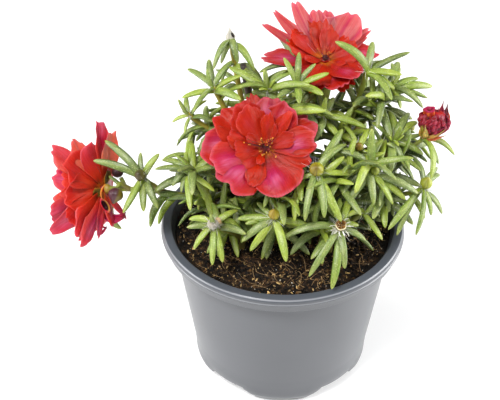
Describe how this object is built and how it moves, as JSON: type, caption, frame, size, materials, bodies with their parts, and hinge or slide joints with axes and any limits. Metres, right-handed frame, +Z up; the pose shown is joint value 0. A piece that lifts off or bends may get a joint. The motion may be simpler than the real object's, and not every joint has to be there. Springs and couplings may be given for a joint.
{
  "type": "potted portulaca",
  "caption": "Flowering moss rose with fleshy leaves, red double blooms and buds, growing in a round tapered nursery pot filled with peat.",
  "frame": {"origin": "on the pot's axis, at the level of its feet and of the flat pad under its middle", "axes": "+Z up along the pot's axis, -Y towards the front, where the front bloom faces"},
  "size_m": [0.1889, 0.1283, 0.1798],
  "materials": {
    "pot_plastic": "satin moulded polypropylene, mid grey, darker on the rim",
    "peat": "damp crumbly peat with bark chips and perlite",
    "leaf": "fleshy leaf and stem, soft waxy sheen",
    "petal": "thin silky petal, orange-red with a magenta sheen",
    "stamen": "powdery yellow anthers on dark red filaments",
    "bud": "smooth waxy bud",
    "petal_spent": "crumpled dry petal, crimson",
    "seed_capsule": "dry papery capsule with a pale rim",
    "dry_husk": "dry papery husk"
  },
  "bodies": {
    "root": {"pot": "pot_plastic", "soil": "peat", "stem_front_capsule": "leaf", "stem_front_middle": "leaf", "stem_front_left": "leaf", "stem_left": "leaf", "stem_front_right": "leaf", "stem_right": "leaf", "stem_upper_left": "leaf", "stem_top_left": "leaf", "stem_top": "leaf", "stem_top_right": "leaf", "stem_back_left": "leaf", "stem_back": "leaf", "stem_back_right": "leaf", "bloom_front": "petal", "stamens_front": "stamen", "bloom_top": "petal", "stamens_top": "stamen", "bloom_left": "petal", "stamens_left": "stamen", "bud_left": "bud", "bud_bloom_left_a": "bud", "bud_bloom_left_b": "bud", "bud_front_middle": "bud", "bud_middle": "bud", "bud_small": "bud", "bud_inner": "bud", "bud_right": "bud", "bud_back": "bud", "bud_back_right": "bud", "bloom_spent": "petal_spent", "seed_capsule": "seed_capsule", "dry_cap": "dry_husk"}
  },
  "joints": []
}
